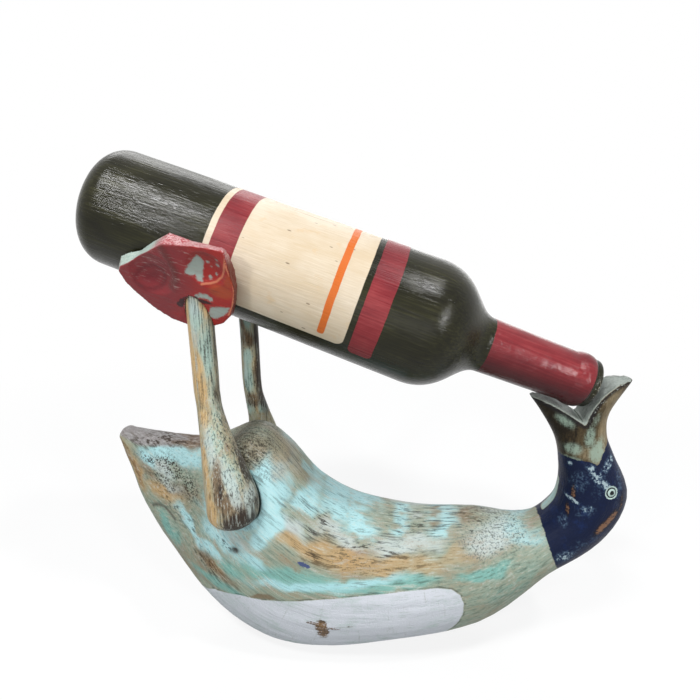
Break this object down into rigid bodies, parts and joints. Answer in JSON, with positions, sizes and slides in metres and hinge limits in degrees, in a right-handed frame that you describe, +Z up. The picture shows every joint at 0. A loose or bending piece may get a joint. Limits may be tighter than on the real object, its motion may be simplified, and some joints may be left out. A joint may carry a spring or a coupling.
{
  "type": "wine bottle holder",
  "caption": "Carved wooden duck lying on its back that cradles a painted wooden wine bottle between its webbed feet and in its open bill.",
  "frame": {"origin": "on the planed resting face under the duck's belly, below the bottle's axis", "axes": "+X from the duck's tail to its bill, +Z up, away from the face it rests on; the duck is the same on both sides of the plane Y = 0, apart from its far leg and foot"},
  "size_m": [0.3151, 0.1078, 0.3075],
  "materials": {
    "body_wood": "matt blue-green paint, rubbed through to brown wood",
    "leg_wood": "matt paint rubbed through to tan wood",
    "foot_wood": "satin dark red paint with worn edges",
    "bottle_wood": "gloss dark green-black paint with a cream label and red bands"
  },
  "bodies": {
    "root": {"body": "body_wood", "near_leg": "leg_wood", "far_leg": "leg_wood", "near_foot": "foot_wood", "far_foot": "foot_wood", "bottle": "bottle_wood"}
  },
  "joints": []
}
